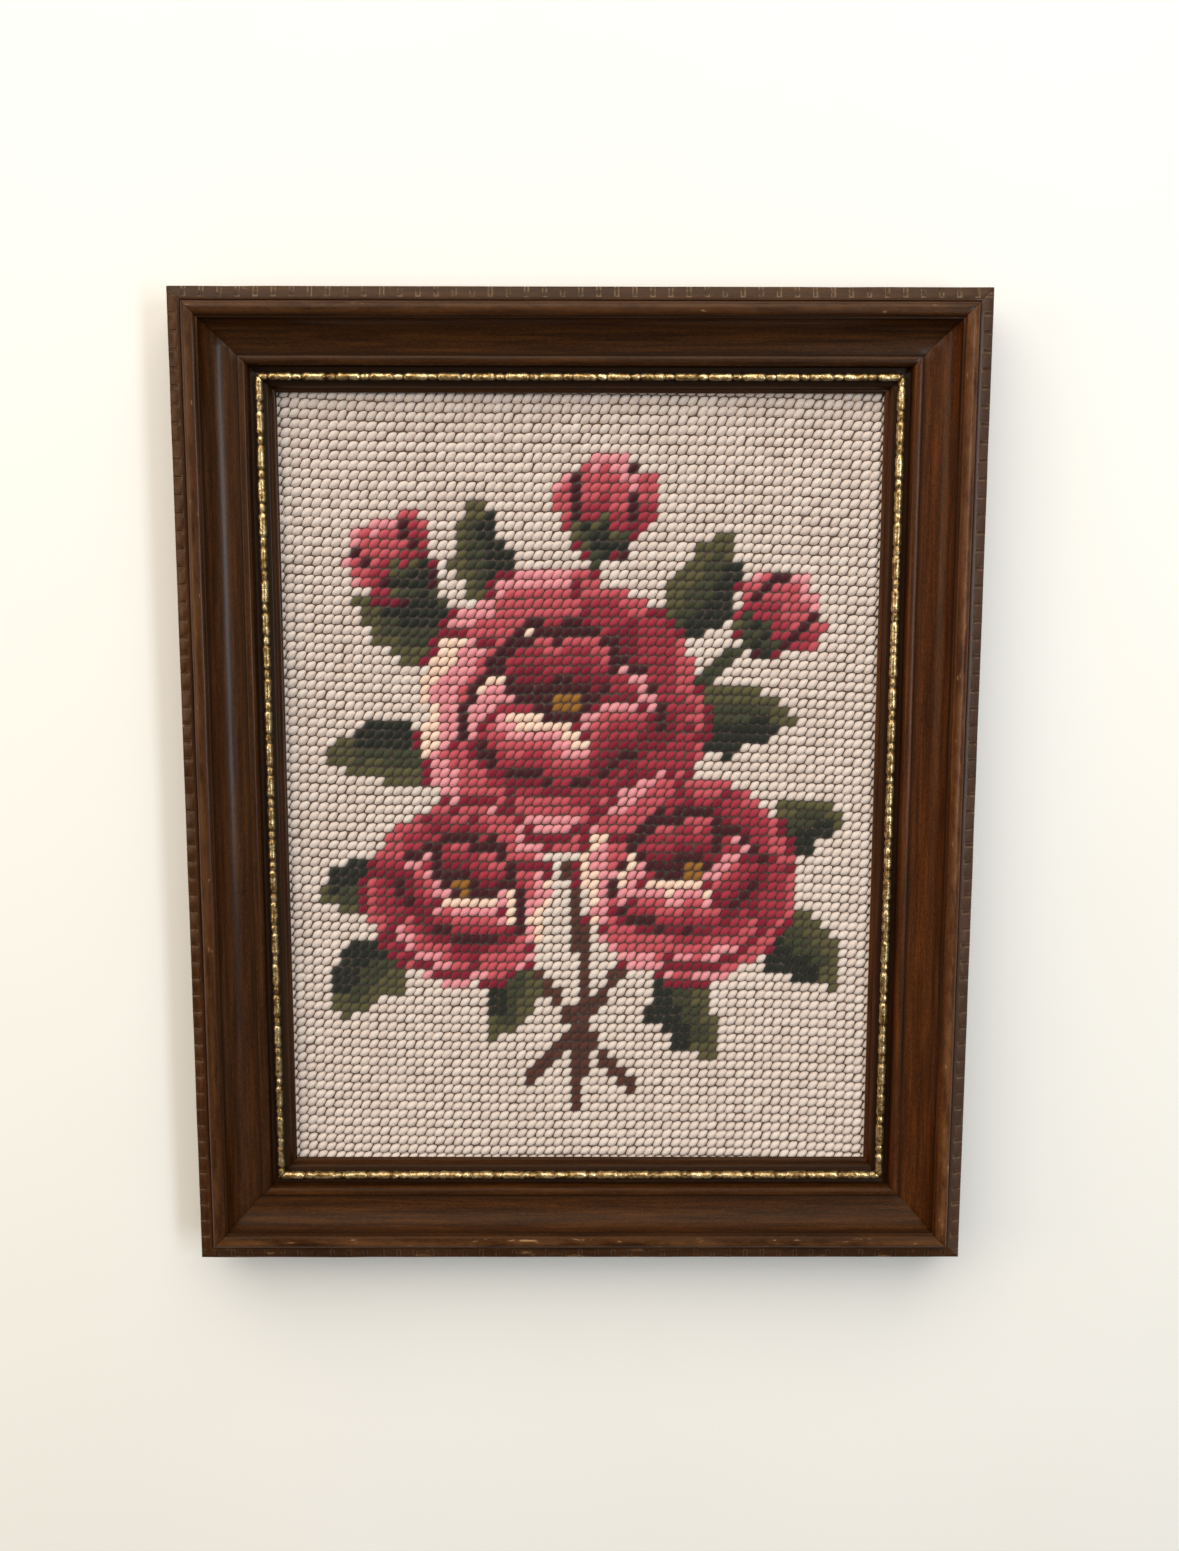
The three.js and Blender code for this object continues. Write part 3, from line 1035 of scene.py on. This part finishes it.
def makeStitchShape():
    # one plump stitch of unit size: a ball cut off at its foot and drawn out to four soft corners
    clearSelection()
    bpy.ops.mesh.primitive_uv_sphere_add(
        segments=stitch["segments"], ring_count=stitch["rings"], radius=1,
        rotation=(0, 0, math.radians(stitch["ballTurn"])),
    )
    ball = nameNew("stitchShape")
    bpy.ops.object.mode_set(mode="EDIT")
    cutAway((0, 0, -stitch["foot"]), (0, 0, -1))
    faceOutwards()
    across, along, up = pointsOf(ball).T
    angle, power = np.arctan2(along, across), stitch["squareness"]
    fuller = (np.abs(np.cos(angle)) ** power + np.abs(np.sin(angle)) ** power) ** (-1 / power)
    faces = [list(p.vertices) for p in ball.data.polygons]
    bpy.data.objects.remove(ball)
    return np.stack([across * fuller, along * fuller, up], 1), faces


def joinStitches(name, stitches, shape, faces):
    # every stitch has the same shape, moved, turned and sized by its own row: place, turn and size
    count, size = len(stitches), len(shape)
    centre, turn, grow = stitches[:, 0:3], stitches[:, 3], stitches[:, 4:7]
    local = shape[None] * grow[:, None, :]
    local[..., 0] += stitch["slant"] * local[..., 1]
    c, s = np.cos(turn)[:, None], np.sin(turn)[:, None]
    places = np.stack([
        local[..., 0] * c - local[..., 1] * s, local[..., 0] * s + local[..., 1] * c, local[..., 2],
    ], -1) + centre[:, None, :]
    corners = np.concatenate([np.array(f) for f in faces])
    sizes = np.array([len(f) for f in faces])
    loops = (corners[None] + np.arange(count)[:, None] * size).ravel()
    starts = np.concatenate([[0], np.cumsum(np.tile(sizes, count))[:-1]])
    mesh = bpy.data.meshes.new(name)
    mesh.vertices.add(count * size)
    mesh.vertices.foreach_set("co", places.ravel())
    mesh.loops.add(len(loops))
    mesh.loops.foreach_set("vertex_index", loops)
    mesh.polygons.add(len(starts))
    mesh.polygons.foreach_set("loop_start", starts)
    mesh.polygons.foreach_set("use_smooth", np.ones(len(starts), bool))
    mesh.update(calc_edges=True)
    mesh.validate()
    piece = bpy.data.objects.new(name, mesh)
    bpy.context.scene.collection.objects.link(piece)
    storeValues(piece, "stitchTone", np.repeat(luck.uniform(0, 1, count), size))
    apart = np.repeat(luck.uniform(0, stitch["strandsApart"], count), size)
    storeValues(piece, "strandPlace", np.column_stack([np.tile(shape[:, :2], (count, 1)), apart]))
    return piece


woolLook = {
    "tone": 0.6,  # how much a stitch's own tone and its fibres mix the two tints
    "fibres": 0.5,
    "fibreScale": (0.4, 1.2, 1),
    "fibreTurn": -0.7,
    "plies": 7.5,  # how close together they lie
    "shadowFrom": (0.25, 0.5),
    "shadow": 0.35,
    "roughness": 0.85,
    "specular": 0.25,
    "sheen": (0.2, 0.5),  # weight and roughness
    "plyBump": (0.35, 0.3 * mm),
    "fibreBump": (0.6, 0.3 * mm),
    "fluffBump": (0.35, 0.1 * mm),
    "patterns": {"fibre": (4.5, 3, 0.65), "fluff": (5200, 2, 0.5)},
}


def makeWool(name, light, deep):
    # each stitch has its own tone, and plies that run along it
    material, tree, shader = newMaterial("wool_" + name)
    w = woolLook
    strands = readAttribute(tree, "strandPlace", "Vector")
    longWays = addNode(tree, "ShaderNodeMapping", {
        "Vector": strands, "Rotation": (0, 0, w["fibreTurn"]), "Scale": w["fibreScale"],
    }).outputs[0]
    parts = addNode(tree, "ShaderNodeSeparateXYZ", {"Vector": strands})
    across = addMath(tree, "MULTIPLY", parts.outputs["X"], w["plies"])
    across = addMath(tree, "SUBTRACT", across, parts.outputs["Y"])
    plies = addMath(tree, "ABSOLUTE", addMath(tree, "SINE", across))
    fibre = addNoise(tree, longWays, *w["patterns"]["fibre"])
    fluff = addNoise(tree, objectPlace(tree), *w["patterns"]["fluff"])
    mixed = addWeighted(tree, [(readAttribute(tree, "stitchTone"), w["tone"]), (fibre, w["fibres"])])
    colour = addMix(tree, mixed, light, deep)
    shadow = addMath(tree, "SUBTRACT", 1.0, addRampValue(tree, fibre, *w["shadowFrom"]))
    shadow = addMath(tree, "MULTIPLY", shadow, w["shadow"])
    sheenWeight, sheenRoughness = w["sheen"]
    bumps = addBump(tree, fibre, *w["fibreBump"], addBump(tree, plies, *w["plyBump"]))
    setInputs(tree, shader, {
        "Base Color": addMix(tree, shadow, colour, deep, "MULTIPLY"),
        "Roughness": w["roughness"],
        "Specular IOR Level": w["specular"],
        "Sheen Weight": sheenWeight,
        "Sheen Roughness": sheenRoughness,
        "Normal": addBump(tree, fluff, *w["fluffBump"], bumps),
    })
    return material


def placeStitches():
    rows = {name: [] for name in shadeNames}
    for (r, c), shade in np.ndenumerate(chart):
        x, y = chartX[r, c] * stitch["pitch"], chartY[r, c] * stitch["pitch"]
        y -= stitch["drop"] * (x / clothHigh.x) ** 3
        warpPlace = Vector((x / stitch["warpSize"], y / stitch["warpSize"], stitch["warpSeed"]))
        warp = noise.noise_vector(warpPlace) * stitch["warp"]
        jog = luck.normal(0, stitch["place"], 2)
        turn = math.radians(luck.normal(0, stitch["turn"]))
        grow = 1 + luck.normal(0, stitch["size"], 3)
        x, y = x + warp.x + jog[0], y + warp.y + jog[1]
        if abs(y) > stitch["hide"]:
            continue
        rise = stitch["rise"] * min(grow[2], stitch["mostRise"])
        size = (stitch["wide"] * grow[0], stitch["high"] * grow[1], rise)
        rows[shadeNames[shade]].append((x, y, canvasFace + clothRise(x, y), turn, *size))
    return {name: np.array(found) for name, found in rows.items() if found}


canvasPiece = makeCanvas()
shape, shapeFaces = makeStitchShape()
for name, found in placeStitches().items():
    wool = makeWool(name, *shades[name])
    bands = [("", found)]
    if name == "ground":
        third = clothHigh.y / 3
        bands = [
            ("_top", found[found[:, 1] > third]),
            ("_middle", found[abs(found[:, 1]) <= third]),
            ("_bottom", found[found[:, 1] < -third]),
        ]
    for band, part in bands:
        piece = joinStitches("stitches_" + name + band, part, shape, shapeFaces)
        finishPiece(piece, wool)


# A plain pale floor and soft light: warm from the upper left, cool and weaker from the right

studio = {
    "floor": (tint(253, 251, 245), tint(249, 246, 238)),
    "floorSize": 6,
    "floorUnder": 0.05 * mm,
    "floorRoughness": 0.6,
    "floorClouds": (9, 4, 0.5),
    "sky": (tint(244, 236, 226), 0.24),
    "lamps": [
        {
            "name": "key", "at": (-0.15, 1.0, 0.95), "size": (2.2, 1.2),
            "power": 23, "colour": (1.0, 0.95, 0.87),
        },
        {
            "name": "window", "at": (0.56, 0.06, 1.0), "size": (0.56, 0.17),
            "power": 4.0, "colour": (0.72, 0.86, 1.0),
        },
        {
            "name": "lamp", "at": (-0.95, 0.1, 0.6), "size": (0.5, 0.5),
            "power": 2.4, "colour": (1.0, 0.82, 0.62),
        },
    ],
}


def makeFloor():
    clearSelection()
    bpy.ops.mesh.primitive_plane_add(size=studio["floorSize"], location=(0, 0, -studio["floorUnder"]))
    floor = nameNew("floor")
    material, tree, shader = newMaterial("paleFloor")
    soft = addNoise(tree, objectPlace(tree), *studio["floorClouds"])
    setInputs(tree, shader, {
        "Base Color": addMix(tree, soft, *studio["floor"]),
        "Roughness": studio["floorRoughness"],
    })
    floor.data.materials.append(material)


def makeLights():
    for lamp in studio["lamps"]:
        aim = (-Vector(lamp["at"])).to_track_quat("-Z", "Y").to_euler()
        bpy.ops.object.light_add(type="AREA", location=lamp["at"], rotation=aim)
        light = bpy.context.object
        light.name = lamp["name"]
        light.data.shape = "RECTANGLE"
        light.data.size, light.data.size_y = lamp["size"]
        light.data.energy = lamp["power"]
        light.data.color = lamp["colour"]
    world = bpy.data.worlds.new("studio")
    world.use_nodes = True
    back = world.node_tree.nodes["Background"]
    back.inputs["Color"].default_value, back.inputs["Strength"].default_value = studio["sky"]
    bpy.context.scene.world = world
    bpy.context.scene.view_settings.view_transform = "Standard"


makeFloor()
makeLights()
print("studio set")
